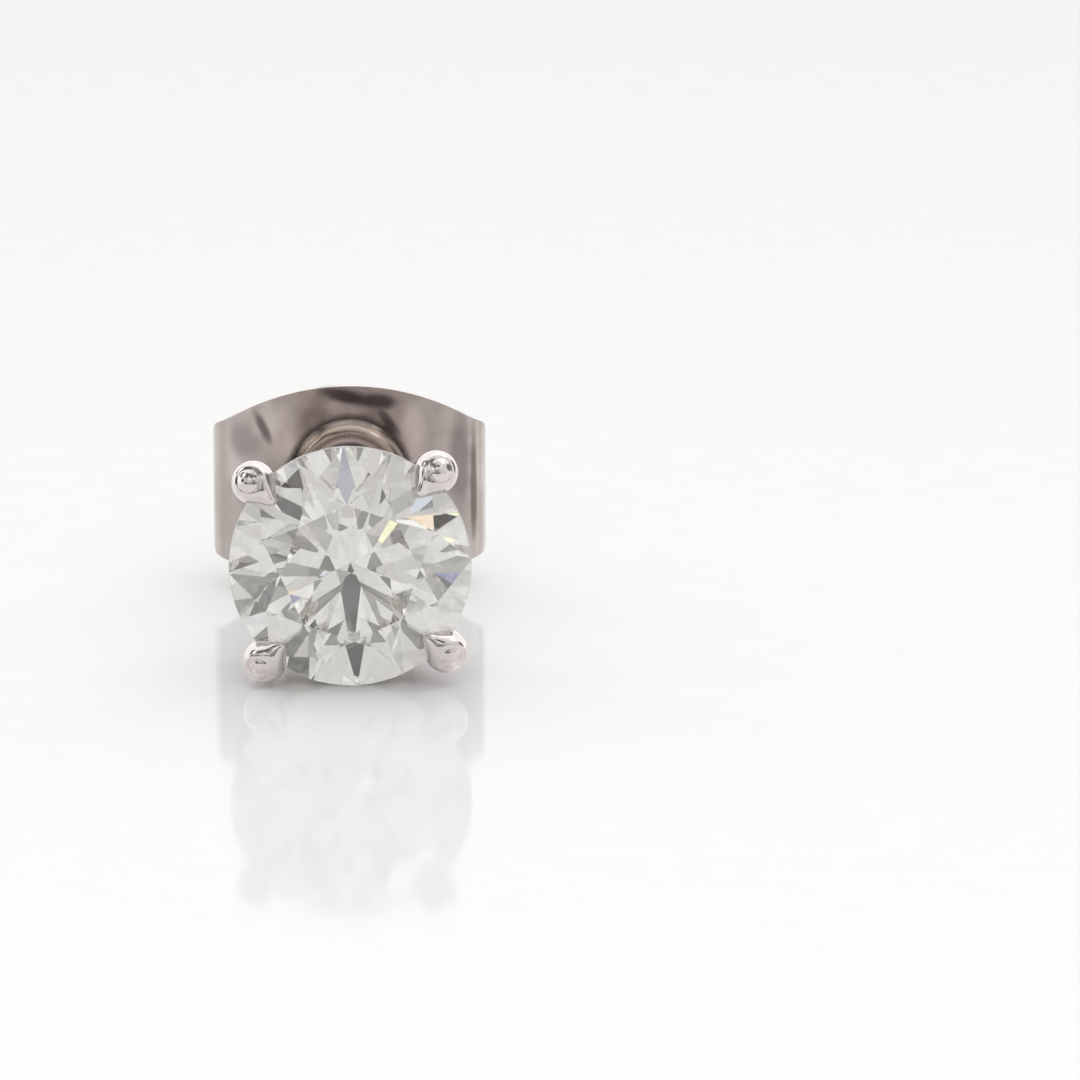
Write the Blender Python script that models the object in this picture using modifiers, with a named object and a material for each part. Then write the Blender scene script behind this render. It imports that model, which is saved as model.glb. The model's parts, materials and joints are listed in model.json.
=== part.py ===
"""A diamond stud earring: a round brilliant in a four-claw setting on an ear post, with a butterfly back.

Every piece is modelled as a jeweller draws it, standing on the post: the stud's axis is Z, the stone's table
faces +Z and the middle of the girdle is at z = 0. At the end the whole stud is laid on its side, as it lies
on a table: the stone looks along -Y and rests on its girdle and on the lower edge of the butterfly back.
Lengths are in metres.
"""

import math

import bmesh
import bpy
from mathutils import Vector

MM = 0.001

# Round brilliant
GIRDLE_RADIUS = 2.55 * MM
GIRDLE_THICKNESS = 0.15 * MM
TABLE_RADIUS = 1.455 * MM
CROWN_HEIGHT = 0.755 * MM
STAR_TIP_RADIUS = 1.95 * MM
PAVILION_DEPTH = 2.20 * MM
LOWER_HALF_TIP_RADIUS = 0.60 * MM
FOLD = 8
GIRDLE_SIDES = 96
CUT_SNAP_MM = 1e-5
FACET_WELD_MM = 1e-4

# Claws, each a leg and a tip that meet in one round shoulder
CLAW_COUNT = 4
CLAW_SHOULDER_RADIUS = 0.41 * MM
CLAW_FOOT_RADIUS = 0.34 * MM
CLAW_TIP_RADIUS = 0.385 * MM
CLAW_POINT_RADIUS = 0.14 * MM
CLAW_NOTCH = 0.25 * MM
CLAW_RISE = 0.12 * MM
CLAW_REACH = 0.52 * MM
CLAW_BITE = 0.06 * MM
CLAW_FOOT_SPREAD = 1.22 * MM
CLAW_FOOT_INSET = 0.05 * MM
SEAT_CLEARANCE = 0.03 * MM

# Gallery rail and base
RAIL_DEPTH = 1.50 * MM
RAIL_RADIUS = 0.20 * MM
CULET_CLEARANCE = 0.40 * MM
BASE_LIP = 0.05 * MM
BASE_THICKNESS = 0.60 * MM
BASE_EDGE_RADIUS = 0.14 * MM

# Ear post
POST_RADIUS = 0.425 * MM
POST_LENGTH = 10.0 * MM
POST_TIP_RADIUS = 0.25 * MM

# Butterfly back
LOBE_GAP = 6.0 * MM
STRIP_THICKNESS = 0.25 * MM
BACK_HALF_WIDTH = 3.04 * MM
PLATE_HALF_HEIGHT = 2.32 * MM
PLATE_EDGE_BOW = 5.40 * MM
ROLL_HALF_HEIGHT = 1.12 * MM
ROLL_CORNER_RADIUS = 0.45 * MM
CORNER_BEND_RADIUS = 0.22 * MM
CORNER_BEND_ANGLE = math.radians(76)
SIDE_ROLL_RADIUS = 1.28 * MM
ROLL_END_HEADING = math.radians(285)
ROLL_CLEARANCE = 0.03 * MM
HOLE_CLEARANCE = 0.06 * MM

# Pressed ring round the hole of the butterfly back
RING_OUTER_RADIUS = 1.55 * MM
RING_CREST_RADIUS = 1.25 * MM
RING_HEIGHT = 0.30 * MM
RING_OVERLAP = 0.05 * MM

# How the stud lies
HEAD_ROLL = math.radians(3.0)

# Fineness
TURNED_STEPS = 48
CLAW_STEPS = 20
RAIL_STEPS = 12
RING_STEPS = 6
STRIP_STEP = 0.24 * MM
ROUNDING_STEP = math.radians(23)
CLAW_ARC_STEP = math.radians(18)
ROLL_ARC_STEP = math.radians(15)
MERGE_DISTANCE = 1e-7

# Colours
DIAMOND_WHITE = (0.93, 0.93, 0.90, 1.0)
WHITE_GOLD = (0.78, 0.75, 0.74, 1.0)


def clear_scene():
    for obj in list(bpy.data.objects):
        bpy.data.objects.remove(obj, do_unlink=True)


def new_collection(name):
    collection = bpy.data.collections.new(name)
    bpy.context.scene.collection.children.link(collection)
    return collection


def new_material(name, colour, metallic, roughness, transmission=0.0, ior=1.5):
    material = bpy.data.materials.new(name)
    material.use_nodes = True
    shader = material.node_tree.nodes["Principled BSDF"]
    shader.inputs["Base Color"].default_value = colour
    shader.inputs["Metallic"].default_value = metallic
    shader.inputs["Roughness"].default_value = roughness
    shader.inputs["Transmission Weight"].default_value = transmission
    shader.inputs["IOR"].default_value = ior
    return material


def new_object(name, mesh, collection, material=None):
    obj = bpy.data.objects.new(name, mesh)
    collection.objects.link(obj)
    if material:
        mesh.materials.clear()
        mesh.materials.append(material)
    return obj


def new_empty(name, collection, parent=None):
    empty = bpy.data.objects.new(name, None)
    empty.empty_display_size = GIRDLE_RADIUS
    empty.parent = parent
    collection.objects.link(empty)
    return empty


def as_helper(obj):
    """A cutter, or a shape that a Boolean joins to another object."""
    obj.hide_render = True
    obj.display_type = "WIRE"
    return obj


def adopt(name, collection):
    """Names the primitive just added and moves it to a collection."""
    obj = bpy.context.object
    obj.name = name
    for holder in list(obj.users_collection):
        holder.objects.unlink(obj)
    collection.objects.link(obj)
    return obj


def combine(obj, other, operation):
    modifier = obj.modifiers.new(f"{operation.lower()}_{other.name}", "BOOLEAN")
    modifier.operation = operation
    modifier.solver = "EXACT"
    modifier.object = other


def turned(name, profile, collection, steps=TURNED_STEPS):
    """A closed body turned about Z from (radius, height) points that run down its outer side."""
    mesh = bpy.data.meshes.new(name)
    edges = [(i, i + 1) for i in range(len(profile) - 1)]
    mesh.from_pydata([(radius, 0, height) for radius, height in profile], edges, [])
    obj = new_object(name, mesh, collection)
    screw = obj.modifiers.new("turn", "SCREW")
    screw.axis = "Z"
    screw.steps = screw.render_steps = steps
    screw.use_merge_vertices = True
    screw.merge_threshold = MERGE_DISTANCE
    screw.use_smooth_shade = True
    return obj


def arc(centre, radius, start, end, longest_step=ROUNDING_STEP):
    """Points of an arc about a centre, from one angle to another."""
    steps = max(1, math.ceil(abs(end - start) / longest_step))
    angles = [start + (end - start) * i / steps for i in range(steps + 1)]
    return [(centre[0] + radius * math.cos(a), centre[1] + radius * math.sin(a)) for a in angles]


def eased(share):
    """0 to 1 along half a cosine wave."""
    return (1 - math.cos(math.pi * share)) / 2


def tapered_rod(name, start, end, start_radius, end_radius, collection):
    """The body swept by a ball that goes straight from start to end while its radius changes evenly."""
    way = end - start
    lean = math.asin((start_radius - end_radius) / way.length)
    profile = arc((0, way.length), end_radius, math.pi / 2, lean, CLAW_ARC_STEP)
    profile += arc((0, 0), start_radius, lean, -math.pi / 2, CLAW_ARC_STEP)
    for i in (0, -1):
        profile[i] = (0, profile[i][1])
    rod = turned(name, profile, collection, CLAW_STEPS)
    rod.location = start
    rod.rotation_euler = way.to_track_quat("Z", "Y").to_euler()
    return rod


# The stone


def on_cone(radius, height, azimuth):
    return Vector((radius * math.cos(azimuth), radius * math.sin(azimuth), height))


def crown_slope():
    """Rise of a crown main facet for each unit inwards."""
    return CROWN_HEIGHT / (GIRDLE_RADIUS - TABLE_RADIUS)


def facet_planes():
    """Three points on each facet, in the order of cutting: crown mains, stars, upper halves, then the pavilion's."""
    step = 2 * math.pi / FOLD
    half = step / 2
    top = GIRDLE_THICKNESS / 2 + CROWN_HEIGHT
    edge = GIRDLE_THICKNESS / 2
    culet = Vector((0, 0, -edge - PAVILION_DEPTH))
    star_inward = GIRDLE_RADIUS - STAR_TIP_RADIUS * math.cos(half)
    star_height = edge + star_inward * crown_slope()
    lower_inward = GIRDLE_RADIUS - LOWER_HALF_TIP_RADIUS * math.cos(half)
    lower_height = -edge - lower_inward * PAVILION_DEPTH / GIRDLE_RADIUS
    planes = [(Vector((0, 0, top)), Vector((1, 0, top)), Vector((0, 1, top)))]
    for k in range(FOLD):
        main = k * step
        table_corner = on_cone(TABLE_RADIUS, top, main)
        next_table_corner = on_cone(TABLE_RADIUS, top, main + step)
        star_tip = on_cone(STAR_TIP_RADIUS, star_height, main + half)
        star_tip_before = on_cone(STAR_TIP_RADIUS, star_height, main - half)
        lower_tip = on_cone(LOWER_HALF_TIP_RADIUS, lower_height, main + half)
        lower_tip_before = on_cone(LOWER_HALF_TIP_RADIUS, lower_height, main - half)
        planes.append((table_corner, star_tip, star_tip_before))
        planes.append((table_corner, next_table_corner, star_tip))
        planes.append((culet, lower_tip, lower_tip_before))
        for side, upper, lower in (
            (half, star_tip, lower_tip),
            (-half, star_tip_before, lower_tip_before),
        ):
            for height, tip in ((edge, upper), (-edge, lower)):
                at_main = on_cone(GIRDLE_RADIUS, height, main)
                between = on_cone(GIRDLE_RADIUS, height, main + side)
                planes.append((at_main, between, tip))
    return planes


def brilliant_mesh(name, grow=0.0):
    """A rough cylinder with every facet cut in turn. grow moves each face outwards by that much."""
    to_mm = 1 / MM
    rough_radius = (GIRDLE_RADIUS + grow) * to_mm
    rough_length = 2 * (GIRDLE_THICKNESS + CROWN_HEIGHT + PAVILION_DEPTH) * to_mm
    bm = bmesh.new()
    bmesh.ops.create_cone(
        bm,
        cap_ends=True,
        segments=GIRDLE_SIDES,
        radius1=rough_radius,
        radius2=rough_radius,
        depth=rough_length,
    )
    for a, b, c in facet_planes():
        normal = (b - a).cross(c - a).normalized()
        if normal.dot(a) < 0:
            normal.negate()
        bmesh.ops.bisect_plane(
            bm,
            geom=bm.verts[:] + bm.edges[:] + bm.faces[:],
            dist=CUT_SNAP_MM,
            plane_co=(a + normal * grow) * to_mm,
            plane_no=normal,
            clear_outer=True,
        )
        bmesh.ops.holes_fill(bm, edges=[e for e in bm.edges if e.is_boundary])
    bmesh.ops.remove_doubles(bm, verts=bm.verts, dist=FACET_WELD_MM)
    bmesh.ops.recalc_face_normals(bm, faces=bm.faces)
    bmesh.ops.scale(bm, vec=Vector((MM, MM, MM)), verts=bm.verts)
    mesh = bpy.data.meshes.new(name)
    bm.to_mesh(mesh)
    bm.free()
    return mesh


def make_diamond(parts, material):
    return new_object("diamond", brilliant_mesh("diamond"), parts, material)


# The setting: claws, gallery rail, base and post, soldered into one piece of metal


def base_top():
    """Height of the base's face under the culet."""
    return -(GIRDLE_THICKNESS / 2 + PAVILION_DEPTH + CULET_CLEARANCE)


def base_bottom():
    return base_top() - BASE_THICKNESS


def claw_joints():
    """The middles of a claw's foot, shoulder and point, as (distance from the axis, height)."""
    foot_height = base_bottom() + CLAW_FOOT_RADIUS + CLAW_FOOT_INSET
    shoulder_distance = GIRDLE_RADIUS + CLAW_SHOULDER_RADIUS - CLAW_NOTCH
    inwards = CLAW_REACH - CLAW_POINT_RADIUS
    above_crown = Vector((crown_slope(), 1)).normalized() * (CLAW_POINT_RADIUS - CLAW_BITE)
    on_crown = Vector((GIRDLE_RADIUS - inwards, GIRDLE_THICKNESS / 2 + inwards * crown_slope()))
    return (
        Vector((CLAW_FOOT_SPREAD, foot_height)),
        Vector((shoulder_distance, CLAW_RISE)),
        on_crown + above_crown,
    )


def make_claw(name, azimuth, tools):
    """The two rods of one claw."""
    foot, shoulder, point = (on_cone(*place, azimuth) for place in claw_joints())
    leg = tapered_rod(f"{name}_leg", foot, shoulder, CLAW_FOOT_RADIUS, CLAW_SHOULDER_RADIUS, tools)
    tip = tapered_rod(f"{name}_tip", shoulder, point, CLAW_TIP_RADIUS, CLAW_POINT_RADIUS, tools)
    return as_helper(leg), as_helper(tip)


def make_rail(tools):
    """The gallery rail runs through the legs of the claws."""
    foot, shoulder, _ = claw_joints()
    share = (shoulder.y + RAIL_DEPTH) / (shoulder.y - foot.y)
    leg_distance = shoulder.lerp(foot, share).x
    bpy.ops.mesh.primitive_torus_add(
        major_radius=leg_distance,
        minor_radius=RAIL_RADIUS,
        major_segments=TURNED_STEPS,
        minor_segments=RAIL_STEPS,
        location=(0, 0, -RAIL_DEPTH),
    )
    return as_helper(adopt("gallery_rail", tools))


def base_and_post_profile():
    top, bottom = base_top(), base_bottom()
    outer = CLAW_FOOT_SPREAD + CLAW_FOOT_RADIUS + BASE_LIP
    edge = min(BASE_EDGE_RADIUS, BASE_THICKNESS / 2)
    tip = min(POST_TIP_RADIUS, POST_RADIUS)
    post_end = bottom - POST_LENGTH
    quarter = math.pi / 2
    profile = [(0, top)]
    profile += arc((outer - edge, top - edge), edge, quarter, 0)
    profile += arc((outer - edge, bottom + edge), edge, 0, -quarter)
    profile += [(POST_RADIUS, bottom)]
    profile += arc((POST_RADIUS - tip, post_end + tip), tip, 0, -quarter)
    return profile + [(0, post_end)]


def make_setting(parts, tools, material):
    setting = turned("claw_setting", base_and_post_profile(), parts)
    setting.data.materials.append(material)
    additions = [make_rail(tools)]
    for i in range(CLAW_COUNT):
        azimuth = 2 * math.pi * (i + 0.5) / CLAW_COUNT
        additions += make_claw(f"claw_{i + 1}", azimuth, tools)
    for addition in additions:
        combine(setting, addition, "UNION")
    seat = as_helper(new_object("stone_seat", brilliant_mesh("stone_seat", SEAT_CLEARANCE), tools))
    combine(setting, seat, "DIFFERENCE")
    return setting, additions + [seat]


# The butterfly back


def plate_height():
    """Height of the middle of the butterfly back's plate."""
    return base_bottom() - LOBE_GAP - STRIP_THICKNESS / 2


def strip_line():
    """(distance from the axis, depth behind the plate, length along the strip) of points along half the strip."""
    side = BACK_HALF_WIDTH - STRIP_THICKNESS / 2
    near = POST_RADIUS + ROLL_CLEARANCE + STRIP_THICKNESS / 2
    inner_radius = side - near - SIDE_ROLL_RADIUS
    lean = math.sin(CORNER_BEND_ANGLE)
    flat = side - CORNER_BEND_RADIUS * lean - SIDE_ROLL_RADIUS * (1 - lean)
    flat_steps = math.ceil(flat / STRIP_STEP)
    points = [(flat * i / flat_steps, 0.0, flat * i / flat_steps) for i in range(flat_steps + 1)]
    heading = 0.0
    for radius, end_heading in (
        (CORNER_BEND_RADIUS, CORNER_BEND_ANGLE),
        (SIDE_ROLL_RADIUS, math.pi),
        (inner_radius, ROLL_END_HEADING),
    ):
        x0, y0, length0 = points[-1]
        steps = max(1, math.ceil((end_heading - heading) / ROLL_ARC_STEP))
        for i in range(1, steps + 1):
            angle = heading + (end_heading - heading) * i / steps
            x = x0 + radius * (math.sin(angle) - math.sin(heading))
            y = y0 + radius * (math.cos(heading) - math.cos(angle))
            points.append((x, y, length0 + radius * (angle - heading)))
        heading = end_heading
    return points


def strip_half_height(length, total):
    """Half the strip's width: bowed edges on the plate, straight ones on the roll, and rounded corners at its end."""
    bowed = math.sqrt(max(0.0, PLATE_EDGE_BOW**2 - length**2))
    height = max(ROLL_HALF_HEIGHT, PLATE_HALF_HEIGHT - PLATE_EDGE_BOW + bowed)
    into_corner = ROLL_CORNER_RADIUS - (total - length)
    if into_corner > 0:
        height -= ROLL_CORNER_RADIUS - math.sqrt(ROLL_CORNER_RADIUS**2 - into_corner**2)
    return height


def make_strip(name, collection):
    """Half of the strip as an open sheet, mirrored about the post and thickened."""
    line = strip_line()
    total = line[-1][2]
    bm = bmesh.new()
    rows = []
    for x, depth, length in line:
        height = strip_half_height(length, total)
        rows.append([bm.verts.new((x, sign * height, -depth)) for sign in (-1, 1)])
    for (a, b), (c, d) in zip(rows, rows[1:]):
        bm.faces.new((a, c, d, b))
    mesh = bpy.data.meshes.new(name)
    bm.to_mesh(mesh)
    bm.free()
    strip = new_object(name, mesh, collection)
    mirror = strip.modifiers.new("other_half", "MIRROR")
    mirror.use_axis = (True, False, False)
    mirror.merge_threshold = MERGE_DISTANCE
    thicken = strip.modifiers.new("sheet", "SOLIDIFY")
    thicken.thickness = STRIP_THICKNESS
    thicken.offset = 0
    thicken.use_even_offset = True
    return strip


def ring_profile():
    """The pressed ring in section, one sheet thick: it rises from the plate to its crest and falls to the hole."""
    hole = POST_RADIUS + HOLE_CLEARANCE
    half = STRIP_THICKNESS / 2
    outer = RING_OUTER_RADIUS + RING_OVERLAP
    middle_line = [(outer, 0.0)]
    for i in range(RING_STEPS + 1):
        share = i / RING_STEPS
        radius = RING_OUTER_RADIUS + (RING_CREST_RADIUS - RING_OUTER_RADIUS) * share
        middle_line.append((radius, RING_HEIGHT * eased(share)))
    for i in range(1, RING_STEPS + 1):
        share = i / RING_STEPS
        radius = RING_CREST_RADIUS + (hole - RING_CREST_RADIUS) * share
        middle_line.append((radius, RING_HEIGHT * eased(1 - share)))
    front = [(radius, height + half) for radius, height in reversed(middle_line)]
    back = [(radius, height - half) for radius, height in middle_line]
    return front + back + front[:1]


def make_butterfly_back(parts, tools, material):
    back = make_strip("butterfly_back", parts)
    back.data.materials.append(material)
    bpy.ops.mesh.primitive_cylinder_add(
        vertices=TURNED_STEPS,
        radius=RING_OUTER_RADIUS,
        depth=2 * STRIP_THICKNESS,
    )
    opening = as_helper(adopt("ring_opening", tools))
    combine(back, opening, "DIFFERENCE")
    ring = as_helper(turned("pressed_ring", ring_profile(), tools))
    combine(back, ring, "UNION")
    return back, [opening, ring]


# Laying the stud down


def rest_tilt():
    """How far the stone looks up when the stud lies on its girdle and on the plate's lower edge."""
    front = -GIRDLE_THICKNESS / 2
    rear = plate_height() - STRIP_THICKNESS / 2
    return math.atan2(GIRDLE_RADIUS - PLATE_HALF_HEIGHT, front - rear)


def bounds_of(objects):
    bpy.context.view_layer.update()
    graph = bpy.context.evaluated_depsgraph_get()
    low, high = Vector((math.inf,) * 3), Vector((-math.inf,) * 3)
    for obj in objects:
        evaluated = obj.evaluated_get(graph)
        mesh = evaluated.to_mesh()
        for vertex in mesh.vertices:
            point = evaluated.matrix_world @ vertex.co
            low = Vector(map(min, low, point))
            high = Vector(map(max, high, point))
        evaluated.to_mesh_clear()
    return low, high


def lay_down(stud, objects):
    """Turns the stud on its side and puts the origin under the middle of its box, on the ground."""
    stud.rotation_euler = (math.pi / 2 - rest_tilt(), 0, 0)
    low, high = bounds_of(objects)
    stud.location -= Vector(((low.x + high.x) / 2, (low.y + high.y) / 2, low.z))


def main():
    clear_scene()
    parts = new_collection("diamond_stud_earring")
    tools = new_collection("cutters")
    diamond_material = new_material("diamond", DIAMOND_WHITE, 0.0, 0.0, 1.0, 2.417)
    gold_material = new_material("white_gold", WHITE_GOLD, 1.0, 0.12)
    stud = new_empty("stud", parts)
    head = new_empty("head", parts, stud)
    slide = new_empty("slide", parts, stud)
    diamond = make_diamond(parts, diamond_material)
    setting, setting_tools = make_setting(parts, tools, gold_material)
    back, back_tools = make_butterfly_back(parts, tools, gold_material)
    for obj in [diamond, setting, *setting_tools]:
        obj.parent = head
    for obj in [back, *back_tools]:
        obj.parent = slide
    head.rotation_euler = (0, 0, HEAD_ROLL)
    slide.location = (0, 0, plate_height())
    lay_down(stud, [diamond, setting, back])


main()
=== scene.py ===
# %% [markdown]
# # A diamond stud earring on a white table
# A jeweller's round brilliant, held by four claws on a small base, with an ear post behind it and a butterfly
# back on the post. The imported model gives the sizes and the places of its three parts. This lesson dresses
# them: the stone keeps its cut shape and gets a real diamond's optics, and the metal is drawn again as smooth
# surfaces worked out with numpy.

import math

import bpy
import numpy as np
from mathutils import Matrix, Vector
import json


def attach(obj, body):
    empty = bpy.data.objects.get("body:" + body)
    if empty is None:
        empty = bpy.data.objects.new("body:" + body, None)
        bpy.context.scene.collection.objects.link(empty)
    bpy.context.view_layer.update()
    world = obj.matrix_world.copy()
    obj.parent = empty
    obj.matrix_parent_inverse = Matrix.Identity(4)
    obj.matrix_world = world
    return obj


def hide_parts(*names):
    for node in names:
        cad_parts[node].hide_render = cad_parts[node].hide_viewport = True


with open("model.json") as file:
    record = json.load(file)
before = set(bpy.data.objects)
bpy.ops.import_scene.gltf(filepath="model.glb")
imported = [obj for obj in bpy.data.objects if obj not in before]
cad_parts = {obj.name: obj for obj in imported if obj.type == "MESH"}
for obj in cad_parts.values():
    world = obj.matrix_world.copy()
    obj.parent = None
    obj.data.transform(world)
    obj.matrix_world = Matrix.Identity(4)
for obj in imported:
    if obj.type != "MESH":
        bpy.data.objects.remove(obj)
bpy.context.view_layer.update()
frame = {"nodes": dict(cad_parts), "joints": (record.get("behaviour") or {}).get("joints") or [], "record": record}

# %% [markdown]
# ## The stud's own axes
# A jeweller draws a stud standing on its post, with the stone's table looking up. Here it lies on its side, so
# each shape is worked out standing and in millimetres, and is then laid down as whole arrays. Where the packed
# stud lies is read from its record: the slide's axis is the post's, and one mount is on the back of the base.

# %% Lay a drawn shape down
MM = 0.001
BASE_BACK_MM = 3.275
HEAD_ROLL = math.radians(3)

post_way = np.array(frame["joints"][0]["axis"])
mount = next(m for m in frame["record"]["mounts"] if m["name"] == "lobe_front_face")
axis_point = np.array(mount["pos_m"]) * (0, 1, 1)
UP_THE_STUD = -post_way / np.linalg.norm(post_way)
ACROSS = np.array((1.0, 0.0, 0.0))
OVER = np.cross(UP_THE_STUD, ACROSS)
GIRDLE_MIDDLE = axis_point + UP_THE_STUD * BASE_BACK_MM * MM
LYING_TURN = math.atan2(OVER[2], OVER[1])


def laid_down(points, roll=0.0):
    """Drawn millimetres to the frame's metres: turn by roll about the post, then sum each coordinate times its axis."""
    x, y, z = np.moveaxis(np.asarray(points, float) * MM, -1, 0)
    x, y = x * math.cos(roll) - y * math.sin(roll), x * math.sin(roll) + y * math.cos(roll)
    return GIRDLE_MIDDLE + x[..., None] * ACROSS + y[..., None] * OVER + z[..., None] * UP_THE_STUD


print("girdle middle in mm", np.round(GIRDLE_MIDDLE / MM, 3), "lying turn", round(math.degrees(LYING_TURN), 2))

# %% [markdown]
# ## From a grid of points to a mesh
# Every new surface here is a grid: rows along the shape, columns round it. Four neighbours make one face. A
# shape that closes on itself joins its last column to its first, and a shape that ends in a point gets one
# vertex there, a pole, with a fan of triangles, so that nothing is left open.

# %% Mesh a grid


def grid_faces(rows, columns, closed, looped=False):
    """Corner numbers of the quads of a grid, as one array. Closed joins the columns round, looped joins the rows."""
    number = np.arange(rows * columns).reshape(rows, columns)
    if closed:
        number = np.concatenate([number, number[:, :1]], axis=1)
    if looped:
        number = np.concatenate([number, number[:1]])
    return np.stack([number[:-1, :-1], number[:-1, 1:], number[1:, 1:], number[1:, :-1]], -1).reshape(-1, 4)


def grid_piece(name, points, closed=True, looped=False, poles=(None, None)):
    """A smooth mesh object from a grid of points in metres. A pole closes the first or the last row."""
    rows, columns = points.shape[:2]
    corners = points.reshape(-1, 3)
    faces = grid_faces(rows, columns, closed, looped).tolist()
    for pole, row in zip(poles, (0, rows - 1)):
        if pole is None:
            continue
        ring = row * columns + np.arange(columns)
        after = np.roll(ring, -1)
        tip = np.full(columns, len(corners))
        fan = (tip, after, ring) if row == 0 else (tip, ring, after)
        faces += np.stack(fan, -1).tolist()
        corners = np.vstack([corners, pole])
    mesh = bpy.data.meshes.new(name)
    mesh.from_pydata(corners.tolist(), [], faces)
    mesh.polygons.foreach_set("use_smooth", np.ones(len(mesh.polygons), bool))
    obj = bpy.data.objects.new(name, mesh)
    bpy.context.scene.collection.objects.link(obj)
    return obj


def facing_out(obj):
    """Turns every face over if the closed mesh is inside out: its corner products add up to six times its volume."""
    mesh = obj.data
    mesh.calc_loop_triangles()
    corners = np.empty(len(mesh.vertices) * 3)
    mesh.vertices.foreach_get("co", corners)
    triangles = np.empty(len(mesh.loop_triangles) * 3, np.int32)
    mesh.loop_triangles.foreach_get("vertices", triangles)
    volume = np.linalg.det(corners.reshape(-1, 3)[triangles.reshape(-1, 3)]).sum() / 6
    if volume < 0:
        mesh.flip_normals()
    print(obj.name, "faces", len(mesh.polygons), "volume in cubic mm", round(abs(volume) * 1e9, 3))
    return obj


# %% [markdown]
# ## Camera
# The picture was taken with a long lens from a little above the table, about 150 mm in front of the stone.
# Aiming the camera beside the stone puts the stone left of the middle and needs no lens shift.

# %% Camera
CAMERA_DISTANCE = 150 * MM
CAMERA_ELEVATION = math.radians(12.05)
FOCAL_PIXELS = 7142
PICTURE_PIXELS = 1080
STONE_FROM_MIDDLE = (-190, -25)
SENSOR_MM = 36

look = Vector((0, math.cos(CAMERA_ELEVATION), -math.sin(CAMERA_ELEVATION)))
picture_up = Vector((0, math.sin(CAMERA_ELEVATION), math.cos(CAMERA_ELEVATION)))
eye = Vector(GIRDLE_MIDDLE) - look * CAMERA_DISTANCE
pixel = CAMERA_DISTANCE / FOCAL_PIXELS
stone_shift = Vector((1, 0, 0)) * STONE_FROM_MIDDLE[0] + picture_up * STONE_FROM_MIDDLE[1]
target = Vector(GIRDLE_MIDDLE) - stone_shift * pixel

camera = bpy.data.objects.new("camera", bpy.data.cameras.new("camera"))
camera.data.sensor_width = SENSOR_MM
camera.data.lens = SENSOR_MM * FOCAL_PIXELS / PICTURE_PIXELS
camera.data.clip_start = 1 * MM
camera.data.clip_end = 10
camera.location = eye
camera.rotation_euler = (target - eye).to_track_quat("-Z", "Y").to_euler()
bpy.context.scene.collection.objects.link(camera)
bpy.context.scene.camera = camera
print("camera at", [round(v / MM, 1) for v in eye], "lens", round(camera.data.lens, 1))

# %% [markdown]
# ## Writing shaders as sums
# A finish is a tree of nodes. Joining them by hand is slow to read, so one small class wraps a socket and turns
# `1 - mask` or `mask * 0.3` into the Math nodes that work it out. Every other node comes from one method, which
# sets the node's own settings first and then fills its sockets with numbers or links.

# %% Wires and finishes


class Wire:
    """One output socket. Arithmetic on it adds Math nodes to its tree."""

    def __init__(self, tree, socket):
        self.tree, self.socket = tree, socket

    def math(self, operation, *terms):
        return self.tree.node("Math", {"operation": operation}, dict(enumerate(terms)))

    def __add__(self, other):
        return self.math("ADD", self, other)

    def __sub__(self, other):
        return self.math("SUBTRACT", self, other)

    def __rsub__(self, other):
        return self.math("SUBTRACT", other, self)

    def __mul__(self, other):
        return self.math("MULTIPLY", self, other)


class Tree:
    """The nodes of a material or of the world."""

    def __init__(self, owner):
        owner.use_nodes = True
        self.nodes, self.links = owner.node_tree.nodes, owner.node_tree.links
        self.nodes.clear()

    def node(self, kind, settings=None, inputs=None, output=0):
        """Adds a node: its settings, then the numbers or links of its sockets. Returns one output as a Wire."""
        node = self.nodes.new("ShaderNode" + kind)
        for name, value in (settings or {}).items():
            if name == "stops":
                stops = node.color_ramp.elements
                while len(stops) < len(value):
                    stops.new(1.0)
                for stop, (place, colour) in zip(stops, value):
                    stop.position, stop.color = place, (*colour, 1) if len(colour) == 3 else colour
            else:
                setattr(node, name, value)
        for name, value in (inputs or {}).items():
            if isinstance(value, Wire):
                self.links.new(value.socket, node.inputs[name])
            else:
                node.inputs[name].default_value = value
        return Wire(self, node.outputs[output]) if node.outputs else node

    def blend(self, share, first, second):
        """The first colour where share is 0 and the second where it is 1."""
        return self.node("Mix", {"data_type": "RGBA"}, {0: share, 6: first, 7: second}, 2)

    def step(self, value, low, high):
        """0 below low, 1 above high, and smooth between them."""
        return self.node(
            "MapRange",
            {"interpolation_type": "SMOOTHSTEP"},
            {"Value": value, "From Min": low, "From Max": high, "To Min": 0.0, "To Max": 1.0},
        )

    def noise(self, where, scale, detail=3.0, roughness=0.55, distortion=0.0):
        return self.node(
            "TexNoise",
            None,
            {"Vector": where, "Scale": scale, "Detail": detail, "Roughness": roughness, "Distortion": distortion},
        )

    def stretched(self, where, scale):
        return self.node("Mapping", None, {"Vector": where, "Scale": scale})


def new_finish(name):
    material = bpy.data.materials.new(name)
    return material, Tree(material)


def drawn_place(tree):
    """Object coordinates turned back to the stud's own standing axes, in millimetres."""
    place = tree.node("TexCoord", output=3)
    return tree.node(
        "Mapping",
        {"vector_type": "TEXTURE"},
        {
            "Vector": place,
            "Location": tuple(GIRDLE_MIDDLE),
            "Rotation": (LYING_TURN, 0, 0),
            "Scale": (MM, MM, MM),
        },
    )


print("finishes read millimetres along the stud")

# %% [markdown]
# ## White table
# The stud lies on a glossy white sheet that shows a faint mirror image of it. White paint with a thin clear
# gloss would do, but its reflection grows with the slant of the view. A fixed small share of mirror gives the
# same faint image from every side.

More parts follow.
